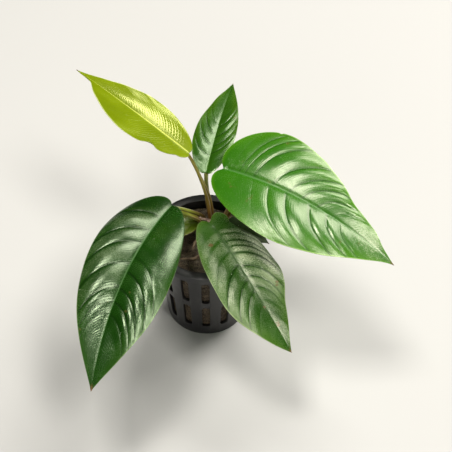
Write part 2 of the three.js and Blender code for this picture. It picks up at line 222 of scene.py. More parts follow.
def add_noise(tree, scale, detail=2):
    """Soft noise in the object's own coordinates. Its scale is a number or the output of a node."""
    place = tree.nodes.new("ShaderNodeTexCoord")
    texture = tree.nodes.new("ShaderNodeTexNoise")
    texture.inputs["Detail"].default_value = detail
    tree.links.new(place.outputs["Object"], texture.inputs["Vector"])
    set_or_link(tree, scale, texture.inputs["Scale"])
    return texture.outputs["Fac"]


def grain_group():
    """Two sizes of fine unevenness, as a mask and as a height."""
    takes = ("Coarse Scale", "Fine Scale", "Fine Share")
    tree, given, put_out = new_group("fine_grain", takes, ("Mask", "Height"))
    coarse = add_noise(tree, given["Coarse Scale"], 3)
    mix = tree.nodes.new("ShaderNodeMix")
    tree.links.new(given["Fine Share"], mix.inputs["Factor"])
    tree.links.new(coarse, mix.inputs["A"])
    tree.links.new(add_noise(tree, given["Fine Scale"]), mix.inputs["B"])
    tree.links.new(coarse, put_out["Mask"])
    tree.links.new(mix.outputs["Result"], put_out["Height"])
    return tree


def add_group(tree, group, *values):
    """Adds a shared effect to a material, with a value for each of its inputs."""
    node = tree.nodes.new("ShaderNodeGroup")
    node.node_tree = group
    for socket, value in zip(node.inputs, values):
        set_or_link(tree, value, socket)
    return node.outputs


def map_value(tree, value, low, high, low_to, high_to, smooth=False):
    """A value brought from one range to another and held within it."""
    node = tree.nodes.new("ShaderNodeMapRange")
    node.interpolation_type = "SMOOTHSTEP" if smooth else "LINEAR"
    for name, bound in (("From Min", low), ("From Max", high), ("To Min", low_to), ("To Max", high_to)):
        node.inputs[name].default_value = bound
    tree.links.new(value, node.inputs["Value"])
    return node.outputs["Result"]


def add_bump(tree, shader, height, depth):
    bump = tree.nodes.new("ShaderNodeBump")
    bump.inputs["Distance"].default_value = depth
    tree.links.new(height, bump.inputs["Height"])
    tree.links.new(bump.outputs["Normal"], shader.inputs["Normal"])


def finish_skin(tree, shader, colour, grain, rough, depth):
    """Gives a shader its colour, and its roughness and relief by a grain."""
    tree.links.new(colour, shader.inputs["Base Color"])
    tree.links.new(map_value(tree, grain["Mask"], 0.3, 0.7, *rough), shader.inputs["Roughness"])
    add_bump(tree, shader, grain["Height"], depth)


def grained_material(name, sizes, tones, span, rough, depth, tones_by="Mask"):
    """A material of two tones, mixed by a grain that makes it uneven as well."""
    material, tree, shader = new_material(name)
    grain = add_group(tree, fine_grain, *sizes)
    finish_skin(tree, shader, two_tones(tree, grain[tones_by], *tones, *span), grain, rough, depth)
    return material


fine_grain = grain_group()
rim_foot = BASKET_HEIGHT - BASKET_RIM_HEIGHT
bpy.ops.object.select_all(action="DESELECT")
bpy.ops.mesh.primitive_cylinder_add(
    vertices=BASKET_SIDES, radius=BASKET_FOOT_RADIUS, depth=BASKET_FLOOR, location=(0, 0, BASKET_FLOOR / 2),
)
basket = bpy.context.object
bpy.ops.object.transform_apply(location=True)
select_only(basket, "FACE", faces_up)
steps = [
    (BASKET_FOOT_RADIUS, 0),
    (wall_radius(rim_foot - BASKET_WALL), rim_foot - BASKET_WALL - BASKET_FLOOR),
    (BASKET_RIM_RADIUS, BASKET_WALL),
    (BASKET_RIM_RADIUS, BASKET_RIM_HEIGHT),
    (BASKET_NECK_RADIUS - BASKET_WALL, 0),
    (wall_radius(BASKET_FLOOR) - BASKET_WALL, BASKET_FLOOR - BASKET_HEIGHT),
]
for (before, _), (radius, rise) in zip(steps, steps[1:]):
    raise_top(radius, before, rise)
bpy.ops.object.mode_set(mode="OBJECT")


def slot_angle(number):
    return (number + 0.5) / SLOTS_AROUND * 2 * math.pi


def slot_cutter(length, width, height, distance, foot, angle):
    """A round-ended block that cuts one slot, at a distance from the basket's axis."""
    bpy.ops.object.select_all(action="DESELECT")
    bpy.ops.mesh.primitive_cube_add(size=1)
    cutter = bpy.context.object
    cutter.scale = (length, width, height)
    bpy.ops.object.transform_apply(scale=True)
    bpy.ops.object.mode_set(mode="EDIT")
    bpy.ops.mesh.select_all(action="SELECT")
    bpy.ops.mesh.bevel(offset=SLOT_ROUNDING * min(width, height), segments=3, affect="EDGES")
    bpy.ops.object.mode_set(mode="OBJECT")
    cutter.location = (
        (distance + length / 2) * math.cos(angle),
        (distance + length / 2) * math.sin(angle),
        foot + height / 2,
    )
    cutter.rotation_euler = (0, 0, angle)
    bpy.ops.object.transform_apply(location=True, rotation=True)
    return cutter


cutters = []
inside = BASKET_FOOT_RADIUS / 2
for i in range(SLOTS_AROUND):
    for foot in SLOT_TIERS:
        cutters.append(slot_cutter(
            BASKET_RIM_RADIUS - inside, SLOT_WIDTH, SLOT_HEIGHT, inside, foot, slot_angle(i),
        ))
for i in range(FLOOR_SLOTS):
    turn = i / FLOOR_SLOTS * 2 * math.pi
    cutters.append(slot_cutter(
        FLOOR_SLOT_LENGTH, FLOOR_SLOT_WIDTH, 4 * BASKET_FLOOR, FLOOR_SLOT_START, -2 * BASKET_FLOOR, turn,
    ))
bpy.ops.object.select_all(action="DESELECT")
for cutter in cutters:
    cutter.select_set(True)
bpy.context.view_layer.objects.active = cutters[0]
bpy.ops.object.join()
all_slots = bpy.context.object
cut = basket.modifiers.new("slots", "BOOLEAN")
cut.object = all_slots
cut.solver = "EXACT"
apply_modifiers(basket)
bpy.data.objects.remove(all_slots)
edge = basket.modifiers.new("moulded_edges", "BEVEL")
edge.width = BASKET_EDGE
edge.segments = 2
edge.limit_method = "ANGLE"
edge.angle_limit = math.radians(40)
apply_modifiers(basket)

material = grained_material(
    "black_plastic", (90, 900, 0.4), (PLASTIC_BLACK, PLASTIC_WORN), (0.45, 0.8), (0.32, 0.5), 0.05 * MM,
)
set_piece(basket, "basket", "net_pot", material, 35)

# The mineral wool
# A plug of spun stone fibres that fills the basket, damp and brown from the water it has stood in, with loose
# fibres standing up from it and showing in the slots. It is pressed in from above, round the rhizome.
WOOL_TOP = 37.4 * MM
WOOL_CROWN = 0.9 * MM
WOOL_EDGE_DROP = 1.4 * MM
WOOL_GAP = 0.3 * MM
WOOL_SIDES = 120
WOOL_RINGS = 14
WOOL_TIERS = 24
WOOL_LUMP = 0.55 * MM
WOOL_TUFT = 0.22 * MM
WOOL_LUMPS, WOOL_TUFTS, WOOL_SIDE_TUFTS = 280, 1100, 500
WOOL_SHOULDER = 0.86
WOOL_SIDE = 17 * MM
HAIR = 0.001 * MM
FIBRES = 6500
FIBRE_STEPS = 4
FIBRE_LENGTH = (2 * MM, 7 * MM)
FIBRE_RADIUS = (0.02 * MM, 0.05 * MM)
FIBRE_BEND = 0.9
FIBRE_LIFT = 0.25 * MM
FIBRE_TILT = 0.12 * MM
FIBRE_SLIM = 0.35
FIBRE_SPREAD = 0.97
FIBRE_OVER = (0.3, 0.2, 1)
WOOL_DARK = (0.014, 0.01, 0.006)
WOOL_LIGHT = (0.075, 0.056, 0.03)
FIBRE_BROWN = (0.05, 0.034, 0.018)
FIBRE_PALE = (0.26, 0.2, 0.13)


def wool_radius(height):
    return wall_radius(height) - BASKET_WALL - WOOL_GAP


def wool_height(x, y):
    """The height of the wool's lumpy top at a place."""
    share = min(1, math.hypot(x, y) / wool_radius(WOOL_TOP))
    edge = WOOL_EDGE_DROP * max(0, (share - WOOL_SHOULDER) / (1 - WOOL_SHOULDER)) ** 2
    lumps = WOOL_LUMP * noise.noise(Vector((x, y, 0)) * WOOL_LUMPS)
    tufts = WOOL_TUFT * noise.noise(Vector((x, y, 0)) * WOOL_TUFTS)
    return WOOL_TOP + WOOL_CROWN * (1 - share * share) - edge + lumps + tufts


def cut_uprights(obj, height, cuts):
    """Cuts the edges that rise by more than a height into equal lengths."""
    def is_upright(edge):
        low, high = (obj.data.vertices[i].co.z for i in edge.vertices)
        return abs(low - high) > height

    select_only(obj, "EDGE", is_upright)
    bpy.ops.mesh.subdivide(number_cuts=cuts)
    bpy.ops.object.mode_set(mode="OBJECT")


foot = BASKET_FLOOR + WOOL_GAP
shoulder = WOOL_TOP - WOOL_EDGE_DROP
bpy.ops.object.select_all(action="DESELECT")
bpy.ops.mesh.primitive_cylinder_add(
    vertices=WOOL_SIDES, radius=1, depth=shoulder - foot, location=(0, 0, (foot + shoulder) / 2),
)
wool = bpy.context.object
bpy.ops.object.transform_apply(location=True)
select_only(wool, "FACE", faces_up)
for i in range(WOOL_RINGS):
    left = 1 - i / (WOOL_RINGS + 1)
    bpy.ops.mesh.extrude_region_move(TRANSFORM_OT_translate={"value": (0, 0, 0)})
    shrink = (1 - (i + 1) / (WOOL_RINGS + 1)) / left
    bpy.ops.transform.resize(value=(shrink, shrink, 1))
bpy.ops.mesh.poke()
cut_uprights(wool, (shoulder - foot) / 2, WOOL_TIERS)
for point in wool.data.vertices:
    place = point.co
    side = Vector((place.x, place.y, 0))
    if place.z < shoulder - HAIR:
        spot = Vector((side.x * WOOL_SIDE, side.y * WOOL_SIDE, place.z))
        swell = WOOL_TUFT * noise.noise(spot * WOOL_SIDE_TUFTS)
        reach = wool_radius(place.z) + swell
        point.co = (side.x * reach, side.y * reach, place.z)
    else:
        x, y = (wool_radius(WOOL_TOP) * value for value in place.xy)
        point.co = (x, y, wool_height(x, y))

material = grained_material(
    "mineral_wool", (350, 2600, 0.6), (WOOL_DARK, WOOL_LIGHT), (0.35, 0.65), (0.55, 0.95), 0.3 * MM, "Height",
)
set_piece(wool, "wool", "wool_plug", material)


def put_values(mesh, **values):
    """Keeps values for the points of a mesh, under names that its material reads."""
    for name, value in values.items():
        mesh.attributes.new(name, "FLOAT", "POINT").data.foreach_set("value", value)


def attribute(tree, name):
    node = tree.nodes.new("ShaderNodeAttribute")
    node.attribute_name = name
    return node.outputs["Fac"]


def fibre_points(chance, on_top):
    """The bent line of one loose fibre, on the wool's top or on its side in the basket's slots."""
    length = chance.uniform(*FIBRE_LENGTH)
    heading = chance.uniform(0, 2 * math.pi)
    bend = chance.normal(0, FIBRE_BEND)
    along = np.linspace(-0.5, 0.5, FIBRE_STEPS + 1)
    angles = heading + bend * along
    dx = np.cumsum(np.cos(angles)) * length / FIBRE_STEPS
    dy = np.cumsum(np.sin(angles)) * length / FIBRE_STEPS
    lift = abs(chance.normal(0, FIBRE_LIFT)) + FIBRE_RADIUS[1]
    arch = lift * (1 - (2 * along) ** 2) + chance.normal(0, FIBRE_TILT) * along
    if on_top:
        turn = chance.uniform(0, 2 * math.pi)
        reach = math.sqrt(chance.uniform(0, 1)) * wool_radius(WOOL_TOP) * FIBRE_SPREAD
        xs = reach * math.cos(turn) + dx - dx.mean()
        ys = reach * math.sin(turn) + dy - dy.mean()
        limit = wool_radius(WOOL_TOP) / np.maximum(np.hypot(xs, ys), wool_radius(WOOL_TOP))
        xs, ys = xs * limit, ys * limit
        zs = [wool_height(x, y) for x, y in zip(xs, ys)] + arch
        return np.stack([xs, ys, zs], axis=1)
    slot = chance.integers(SLOTS_AROUND)
    across = np.clip(chance.uniform(-0.5, 0.5) * SLOT_WIDTH + dx - dx.mean(), -2 * MM, 2 * MM)
    middle = SLOT_TIERS[chance.integers(2)] + chance.uniform(0, SLOT_HEIGHT)
    zs = middle + dy - dy.mean()
    reach = np.array([wool_radius(z) for z in zs]) + np.minimum(arch, FIBRE_LIFT)
    turn = slot_angle(slot) + across / reach
    return np.stack([reach * np.cos(turn), reach * np.sin(turn), zs], axis=1)


def unit(vectors):
    return vectors / np.linalg.norm(vectors, axis=-1, keepdims=True)


def fibre_mesh(name, count, on_top, seed):
    """Many three-sided threads in one mesh, each with a tone of its own."""
    chance = np.random.default_rng(seed)
    corners, faces, tones = [], [], []
    for _ in range(count):
        line = fibre_points(chance, on_top)
        radius = chance.uniform(*FIBRE_RADIUS)
        tone = chance.uniform(0, 1)
        run = unit(line[-1] - line[0])
        side = unit(np.cross(run, FIBRE_OVER))
        over = np.cross(side, run)
        start = len(corners)
        for step, point in enumerate(line):
            slim = radius * (FIBRE_SLIM if step in (0, FIBRE_STEPS) else 1)
            for k in range(3):
                angle = 2 * math.pi * k / 3
                corners.append(point + slim * (math.cos(angle) * side + math.sin(angle) * over))
                tones.append(tone)
        for step in range(FIBRE_STEPS):
            for k in range(3):
                a, b = start + 3 * step + k, start + 3 * step + (k + 1) % 3
                faces.append((b, a, a + 3, b + 3))
        last = start + 3 * FIBRE_STEPS
        faces.append((start, start + 1, start + 2))
        faces.append((last + 2, last + 1, last))
    mesh = bpy.data.meshes.new(name)
    mesh.from_pydata(corners, [], faces)
    put_values(mesh, tone=tones)
    fibres = bpy.data.objects.new(name, mesh)
    scene.collection.objects.link(fibres)
    return fibres


material, tree, shader = new_material("wool_fibres")
hue = two_tones(tree, attribute(tree, "tone"), FIBRE_BROWN, FIBRE_PALE, 0.25, 1)
tree.links.new(hue, shader.inputs["Base Color"])
grain = add_group(tree, fine_grain, 900, 3000, 0.5)
tree.links.new(map_value(tree, grain["Mask"], 0.3, 0.7, 0.35, 0.7), shader.inputs["Roughness"])
for name, count, on_top, seed in (
    ("wool_fibres_top", FIBRES, True, 3),
    ("wool_fibres_side", FIBRES // 2, False, 4),
):
    fibres = fibre_mesh(name, count, on_top, seed)
    fibres.data.materials.append(material)
    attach(fibres, "root")

# The rhizome
# The creeping stem that all leaves and roots grow from: as thick as a pencil, green where it is young and
# brown where it is old, with a ring scar where each old leaf has dropped. It lies half sunk in the wool.
RHIZOME_ROUTE = ((3.6, -12.5, 37.6), (3.4, -6, 39.4), (3, 1, 40.2), (2.6, 9, 40))
RHIZOME_RADIUS = 3.85 * MM
RHIZOME_SCARS = 9
RHIZOME_SIDES, RHIZOME_CUTS = 40, 110
CURVE_STEPS = 60
SCAR_WIDTH = 0.11
SCAR_DEPTH = 0.05
RHIZOME_GREEN = (0.06, 0.085, 0.018)
RHIZOME_BROWN = (0.085, 0.05, 0.02)


def lengths_along(line):
    """How far each point of a line lies from its start, along the line."""
    return np.concatenate([[0], np.cumsum(np.linalg.norm(np.diff(line, axis=0), axis=1))])


def places_at(marks, known, line):
    """Places on a line at marks, where known are the marks of its points."""
    return np.stack([np.interp(marks, known, part) for part in line.T], axis=-1)


def curve_through(points, count):
    """Evenly spaced places on a smooth curve through points, with its directions there."""
    given = np.array(points, float) * MM
    ends = np.vstack([2 * given[0] - given[1], given, 2 * given[-1] - given[-2]])
    dense = []
    for i in range(len(given) - 1):
        a, b, c, d = ends[i:i + 4]
        before, span, after = (math.sqrt(np.linalg.norm(q - p)) for p, q in ((a, b), (b, c), (c, d)))
        leave = span * ((b - a) / before - (c - a) / (before + span) + (c - b) / span)
        arrive = span * ((c - b) / span - (d - b) / (span + after) + (d - c) / after)
        t = np.linspace(0, 1, CURVE_STEPS, endpoint=i == len(given) - 2)[:, None]
        dense.append(b * (2 * t**3 - 3 * t**2 + 1) + leave * (t**3 - 2 * t**2 + t)
                     + c * (3 * t**2 - 2 * t**3) + arrive * (t**3 - t**2))
    line = np.vstack(dense)
    lengths = lengths_along(line)
    places = places_at(np.linspace(0, lengths[-1], count), lengths, line)
    return places, unit(np.gradient(places, axis=0))


def point_places(mesh):
    flat = np.empty(len(mesh.vertices) * 3)
    mesh.vertices.foreach_get("co", flat)
    return flat.reshape(-1, 3).T


def point_values(mesh, name):
    values = np.empty(len(mesh.vertices))
    mesh.attributes[name].data.foreach_get("value", values)
    return values


def bent_rod(route, radius_at, sides, cuts, upper=(0, 0, 1)):
    """A cylinder that is drawn along a route. radius_at gives its radius by the share of its length and the
    angle from its upper side, and upper is the direction that this side faces."""
    bpy.ops.object.select_all(action="DESELECT")
    bpy.ops.mesh.primitive_cylinder_add(vertices=sides, radius=1, depth=1, end_fill_type="TRIFAN")
    rod = bpy.context.object
    cut_uprights(rod, 0.5, cuts)
    x, y, z = point_places(rod.data)
    share = np.clip(z + 0.5, 0, 1)
    angle = np.arctan2(y, x)
    places, along = curve_through(route, cuts + 2)
    row = np.rint(share * (cuts + 1)).astype(int)
    ups = unit(np.array(upper) - (along @ np.array(upper))[:, None] * along)
    sideways = np.cross(along, ups)
    reach = np.where(np.hypot(x, y) < 0.5, 0, radius_at(share, angle))[:, None]
    out = np.cos(angle)[:, None] * ups[row] + np.sin(angle)[:, None] * sideways[row]
    rod.data.vertices.foreach_set("co", (places[row] + reach * out).ravel())
    put_values(rod.data, share=share, angle=np.abs(angle))
    rod.data.update()
    return rod


def rounded_ends(share, end):
    """1 along a rod, and falling to 0 over its last stretch at both ends as on a half ball."""
    inward = np.clip(np.minimum(share, 1 - share) / end, 0, 1)
    return np.sqrt(np.clip(1 - (1 - inward) ** 2, 0.0004, 1))


def bell(distance, width):
    """1 in the middle, and falling softly to 0 on both sides."""
    return np.exp(-(distance / width) ** 2)


def scars_before(share):
    """How many ring scars lie before a place. They are unevenly spaced."""
    return share * RHIZOME_SCARS + 0.3 * np.sin(11 * share + 1)


def rhizome_radius(share, angle):
    """Thicker at its old end, pinched at each slanting scar, and a little lumpy."""
    size = 0.88 - 0.12 * share
    swell = size + (1 - size) * np.sin(np.pi * share)
    scars = scars_before(share) + 0.12 * np.sin(2 * angle + 9 * share)
    depth = SCAR_DEPTH * (0.75 + 0.25 * np.sin(3 * angle + 14 * share))
    ring = depth * bell(scars - np.rint(scars), SCAR_WIDTH)
    lumps = 0.02 * np.sin(3 * angle + 9 * share) + 0.015 * np.sin(5 * angle - 17 * share)
    return RHIZOME_RADIUS * swell * rounded_ends(share, 0.09) * (1 - ring + lumps)


def maths(tree, operation, *values):
    node = tree.nodes.new("ShaderNodeMath")
    node.operation = operation
    for socket, value in zip(node.inputs, values):
        set_or_link(tree, value, socket)
    return node.outputs[0]


material, tree, shader = new_material("rhizome_skin")
grain = add_group(tree, fine_grain, 260, 1700, 0.45)
from_scar = maths(tree, "PINGPONG", attribute(tree, "scars"), 0.5)
scar = map_value(tree, from_scar, 0, 0.2, 0.9, 0, True)
mottle = map_value(tree, grain["Mask"], 0.35, 0.6, 0, 0.9)
skin = two_tones(tree, maths(tree, "MAXIMUM", scar, mottle), RHIZOME_GREEN, RHIZOME_BROWN, 0.1, 0.8)
finish_skin(tree, shader, skin, grain, (0.35, 0.6), 0.12 * MM)
rhizome = bent_rod(RHIZOME_ROUTE, rhizome_radius, RHIZOME_SIDES, RHIZOME_CUTS)
put_values(rhizome.data, scars=scars_before(point_values(rhizome.data, "share")))
set_piece(rhizome, "rhizome_stem", "rhizome", material)

# The roots
# Pale, wiry roots that leave the rhizome's sides, lie on the wool and dive into it.
ROOT_ROUTES = {
    "root_1": ((-1, 0.4, 38.7), (-3.3, -0.8, 38.8), (-4.3, -4, 38.6), (-5.2, -6.6, 36.2)),
    "root_2": ((-0.8, -6.4, 38.4), (-4, -9.2, 38.4), (-8, -9, 37.9), (-11.6, -7.2, 35.4)),
    "root_3": ((8.1, -4.4, 38.6), (11.2, -7, 38.1), (12.6, -10, 35.4)),
    "root_4": ((-1.6, 5.4, 38.5), (-6, 8.6, 38.2), (-10, 10.2, 35.6)),
}
ROOT_SHARES = (0, 0.25, 0.5, 0.75, 1)
ROOT_RADII = (0.6, 0.58, 0.5, 0.42, 0.3)
ROOT_SIDES, ROOT_CUTS = 16, 70
ROOT_CREAM = (0.27, 0.19, 0.12)
ROOT_TAN = (0.09, 0.05, 0.028)


def root_radius(share, angle):
    knots = 1 + 0.07 * np.sin(31 * share + np.cos(angle)) + 0.05 * np.sin(83 * share + angle)
    return np.interp(share, ROOT_SHARES, ROOT_RADII) * MM * knots * rounded_ends(share, 0.04)


material = grained_material(
    "root_skin", (420, 2400, 0.5), (ROOT_TAN, ROOT_CREAM), (0.35, 0.6), (0.5, 0.75), 0.08 * MM,
)
for node, route in ROOT_ROUTES.items():
    root = bent_rod(route, root_radius, ROOT_SIDES, ROOT_CUTS)
    set_piece(root, node + "_strand", node, material)

# The leaves' sizes
# Each leaf grew at its own place, height and angle, and droops by its own weight. Lengths are in millimetres,
# angles in degrees, and left and right are as seen from the stalk towards the tip.

# base and foot are the places of the notch and of the stalk's foot, lean is where the stalk first heads,
# stalk holds its radii at the foot, the sheath and the neck, and groove is where its groove faces. The
# midrib has a heading, rise and roll at its start, which change by turn, droop and twist up to the tip.
# fold lifts the halves, curl bends their edges down, rib is how deep the midrib is sunk, and wave and waves
# are the size and number of the margin's waves. A half is widest at a share of the length. lobe, belly and
# taper shape its outline, sweep and bow lead its side veins, which leave the midrib at the shares in veins,
# and bites are the place, reach and depth of its dents. panels is how high it swells between the veins,
# over the range in swell and fullest where crest puts it, and arch is how high it arches as a whole.
HALF = dict(
    sweep=0.45, bow=(0.15, 0.72), swell=(0.02, 0.12, 0.55, 0.82), panels=0.3, crest=0.8, arch=0, bites=(),
)
YOUNG_VEINS = tuple(i / 44 for i in range(45))
SMALL_HALF = dict(HALF, widest=0.36, lobe=0.03, belly=0.4, taper=0.25)
SMALL_LEFT = dict(SMALL_HALF, veins=(0, 0.08, 0.18, 0.3, 0.42, 0.54, 0.66, 0.78, 0.89, 1))
SMALL_RIGHT = dict(SMALL_HALF, veins=(0, 0.06, 0.14, 0.25, 0.37, 0.48, 0.6, 0.72, 0.85, 1))
LEAVES = {
    "right": dict(
        base=(6.6, 6.2, 69.3), foot=(6.4, 4.2, 42.6), lean=(2.8, 2.2, 8),
        stalk=(1.25, 1.3, 1), length=69.4,
        left=dict(
            HALF, width=21, widest=0.22, lobe=0.05, belly=0.23, taper=0.29,
            sweep=0.43, bow=(0.13, 0.7), swell=(0.02, 0.1, 0.5, 0.72),
            veins=(0, 0.045, 0.09, 0.12, 0.168, 0.28, 0.37, 0.443, 0.53, 0.62, 0.71, 0.8, 0.9, 1),
            bites=((12.5, 0.5, 0.5), (31, 3, -0.4), (46, 4.5, 0.9), (58, 3, -0.5)), panels=0.54, crest=1.7,
        ),
        right=dict(
            HALF, width=19.6, widest=0.4, lobe=0.06, belly=0.5, taper=0.19,
            sweep=0.42, bow=(0.2, 0.83), swell=(0.12, 0.36, 0.6, 0.85), panels=0.54,
            veins=(0, 0.05, 0.11, 0.18, 0.265, 0.36, 0.49, 0.587, 0.67, 0.75, 0.83, 0.91, 1),
        ),
        heading=-29.3, turn=-3.4, rise=11.7, droop=41.5, roll=11.5, twist=-0.9, fold=12.2, curl=0.18,
        wave=0.25, waves=4, rib=0.26, slot="leaf_bright",
    ),
    "left": dict(
        base=(-11.6, -1.5, 58.5), foot=(-0.7, 4.5, 43.2), lean=(-3, -2.3, 5.7),
        stalk=(1.3, 1.7, 1.4), length=75.3,
        left=dict(
            HALF, width=16.2, widest=0.47, lobe=0.02, belly=0.52, taper=0.15,
            bow=(0.19, 0.8), swell=(0.28, 0.4, 0.58, 0.74), panels=0.44, arch=1,
            veins=(0, 0.06, 0.13, 0.214, 0.28, 0.354, 0.437, 0.524, 0.59, 0.651, 0.73, 0.81, 0.9, 1),
        ),
        right=dict(
            HALF, width=16.2, widest=0.32, lobe=0.05, belly=0.49, taper=0.18,
            sweep=0.51, bow=(0.23, 0.75), swell=(0.02, 0.1, 0.5, 0.74), panels=0.44, arch=0.9,
            veins=(0, 0.04, 0.093, 0.194, 0.272, 0.389, 0.515, 0.588, 0.643, 0.71, 0.78, 0.86, 0.93, 1),
        ),
        heading=-120.5, turn=20.5, rise=8.7, droop=41.4, roll=0, twist=0, fold=11, curl=0.2,
        wave=0.3, waves=3, rib=0.16, groove=(0.15, -0.6, 1), slot="leaf_dark",
    ),
    "front": dict(
        base=(2.8, -3.7, 50.4), foot=(3.6, 0.2, 44.1), lean=(0, 0.6, 2.5),
        stalk=(1.2, 1.2, 0.9), length=55.5,
        left=dict(
            HALF, width=13.4, widest=0.45, lobe=0.14, belly=0.25, taper=0.25,
            sweep=0.38, bow=(0.09, 0.72), swell=(0.06, 0.16, 0.42, 0.7), arch=0.2,
            veins=(0, 0.05, 0.1, 0.164, 0.21, 0.265, 0.372, 0.45, 0.53, 0.62, 0.71, 0.8, 0.9, 1),
            bites=((4, 4.6, 4.8), (38, 3.5, 0.5)),
        ),
        right=dict(
            HALF, width=13.3, widest=0.5, lobe=0.09, belly=0.53, taper=0.1,
            sweep=0.44, bow=(0.23, 0.64), swell=(0.14, 0.36, 0.5, 0.75), panels=0.47,
            veins=(0, 0.06, 0.14, 0.24, 0.353, 0.467, 0.551, 0.655, 0.74, 0.83, 0.91, 1),
        ),
        heading=-64, turn=9.9, rise=5.4, droop=39.8, roll=-8.6, twist=4.4, fold=9.9, curl=0.2,
        wave=0.5, waves=2.5, rib=0.18, slot="leaf_dark",
    ),
    "young": dict(
        base=(-5.4, 6.9, 76.4), foot=(2.1, 4.2, 44), lean=(-1.2, 0.9, 11.5),
        stalk=(1.2, 1, 0.6), length=52.1,
        left=dict(
            HALF, width=13, widest=0.39, lobe=0.04, belly=0.37, taper=0.36, panels=0.1, arch=-0.55,
            veins=YOUNG_VEINS, bites=((2.6, 1.2, 0.9), (11, 2.2, 2.3), (44.5, 3.4, 1.6)),
        ),
        right=dict(
            HALF, width=8.6, widest=0.37, lobe=0.02, belly=0.37, taper=0.28, panels=0.1, arch=0.38,
            veins=YOUNG_VEINS,
        ),
        heading=145.7, turn=-7.4, rise=18.7, droop=16, roll=3.8, twist=-0.2, fold=23.8, curl=0.12,
        wave=0.08, waves=5, rib=0, slot="leaf_young",
    ),
    "back": dict(
        base=(0.3, 9.9, 63.2), foot=(1.7, 8, 43.6), lean=(-1, 0.6, 9),
        stalk=(1.1, 1.1, 0.8), length=47.3,
        left=dict(
            HALF, width=8, widest=0.33, lobe=0.03, belly=0.37, taper=0.22,
            bow=(0.11, 0.76), swell=(0.04, 0.14, 0.35, 0.6), panels=0.34,
            veins=(0, 0.06, 0.146, 0.25, 0.36, 0.47, 0.58, 0.68, 0.78, 0.88, 1),
        ),
        right=dict(
            HALF, width=7.8, widest=0.36, lobe=0.03, belly=0.41, taper=0.18,
            sweep=0.48, bow=(0.12, 0.67), swell=(0.04, 0.16, 0.4, 0.65), panels=0.34,
            veins=(0, 0.08, 0.174, 0.239, 0.33, 0.43, 0.53, 0.63, 0.73, 0.83, 0.92, 1),
        ),
        heading=78.8, turn=-1.8, rise=11.2, droop=23.6, roll=-2.3, twist=-1.2, fold=15, curl=0.15,
        wave=0.25, waves=3, rib=0.24, slot="leaf_dark",
    ),
    "small": dict(
        base=(-2.7, 2.5, 44.4), foot=(-1.2, 1.4, 41), lean=(-0.3, 0.3, 1.2),
        stalk=(0.8, 0.8, 0.6), length=30.9,
        left=dict(SMALL_LEFT, width=6.4),
        right=dict(SMALL_RIGHT, width=3.6),
        heading=186, turn=4, rise=4, droop=16, roll=-8, twist=4, fold=12, curl=0.15,
        wave=0.2, waves=3, rib=0.2, slot="leaf_olive",
    ),
    "low": dict(
        base=(7.6, 1.6, 45.4), foot=(6.7, 1.9, 42.3), lean=(0.2, 0, 1.4),
        stalk=(0.8, 0.8, 0.6), length=17.6,
        left=dict(SMALL_LEFT, width=6.2),
        right=dict(SMALL_RIGHT, width=6.2),
        heading=-31, turn=4, rise=6, droop=22, roll=0, twist=0, fold=14, curl=0.15,
        wave=0.3, waves=3, rib=0.2, slot="leaf_olive",
    ),
}
RIB_STEPS = 60


def rib_directions(leaf, share):
    """The midrib's direction, and the directions across and above the blade, at shares of its length."""
    heading = np.radians(leaf["heading"] + leaf["turn"] * share)
    rise = np.radians(leaf["rise"] - leaf["droop"] * share)
    roll = np.radians(leaf["roll"] + leaf["twist"] * share)[..., None]
    along = np.stack([np.cos(rise) * np.cos(heading), np.cos(rise) * np.sin(heading), np.sin(rise)], axis=-1)
    level = np.stack([-np.sin(heading), np.cos(heading), np.zeros_like(heading)], axis=-1)
    across = level * np.cos(roll) + np.cross(along, level) * np.sin(roll)
    return along, across, np.cross(along, across)


def midrib(leaf, share):
    """The midrib's places at shares of its length, with the directions across and above the blade there."""
    step_shares = (np.arange(RIB_STEPS) + 0.5) / RIB_STEPS
    steps = rib_directions(leaf, step_shares)[0] * leaf["length"] / RIB_STEPS
    chain = np.vstack([leaf["base"], leaf["base"] + np.cumsum(steps, axis=0)])
    held = np.clip(share, 0, 1)
    places = places_at(held, np.linspace(0, 1, RIB_STEPS + 1), chain)
    along, across, above = rib_directions(leaf, held)
    places = places + along * (np.minimum(share, 0) * leaf["length"])[..., None]
    return places, across, above


# The stalks
# Each stalk is juicy and firm, grooved along its upper side, and clasps the rhizome with a thin-edged sheath
# in its lower part. It thickens a little where it meets the blade, and its ridge runs on below the midrib.
STALK_SIDES, STALK_CUTS = 44, 90
STALK_SINK = 0.1
STALK_LEAD = 2.6
STALK_END = 0.3
BLADE_HALF = 0.4
SHEATH_END = 0.62
SHEATH_PLACE = math.radians(42)
SHEATH_EDGE = math.radians(8)
SHEATH_RISE = 0.3
SHEATH_DEPTH = 0.42
GROOVE_WIDTH = math.radians(18)
GROOVE_DEPTH = 0.16
STALK_GREEN = (0.21, 0.25, 0.03)
STALK_FOOT = (0.2, 0.09, 0.02)
STALK_YOUNG = (0.24, 0.21, 0.025)
STALK_YOUNG_FOOT = (0.24, 0.11, 0.02)
SHEATH_PAPER = (0.34, 0.24, 0.13)
# Painted shade: the dark colour at the bottom of a stalk's groove.
GROOVE_PAINTED_SHADE = (0.025, 0.014, 0.004)
STREAK_BROWN = (0.6, 0.5, 0.4)


def stalk_route(leaf):
    """The foot, a point that sets the lean, the joint below the notch and the end below the midrib."""
    neck = leaf["stalk"][2]
    places, _, above = midrib(leaf, np.array([0, STALK_LEAD / leaf["length"]]))
    joint = places[0] - above[0] * (BLADE_HALF + neck - STALK_SINK)
    end = places[1] - above[1] * (BLADE_HALF + STALK_END)
    foot = np.array(leaf["foot"])
    return foot, foot + np.array(leaf["lean"]), joint, end


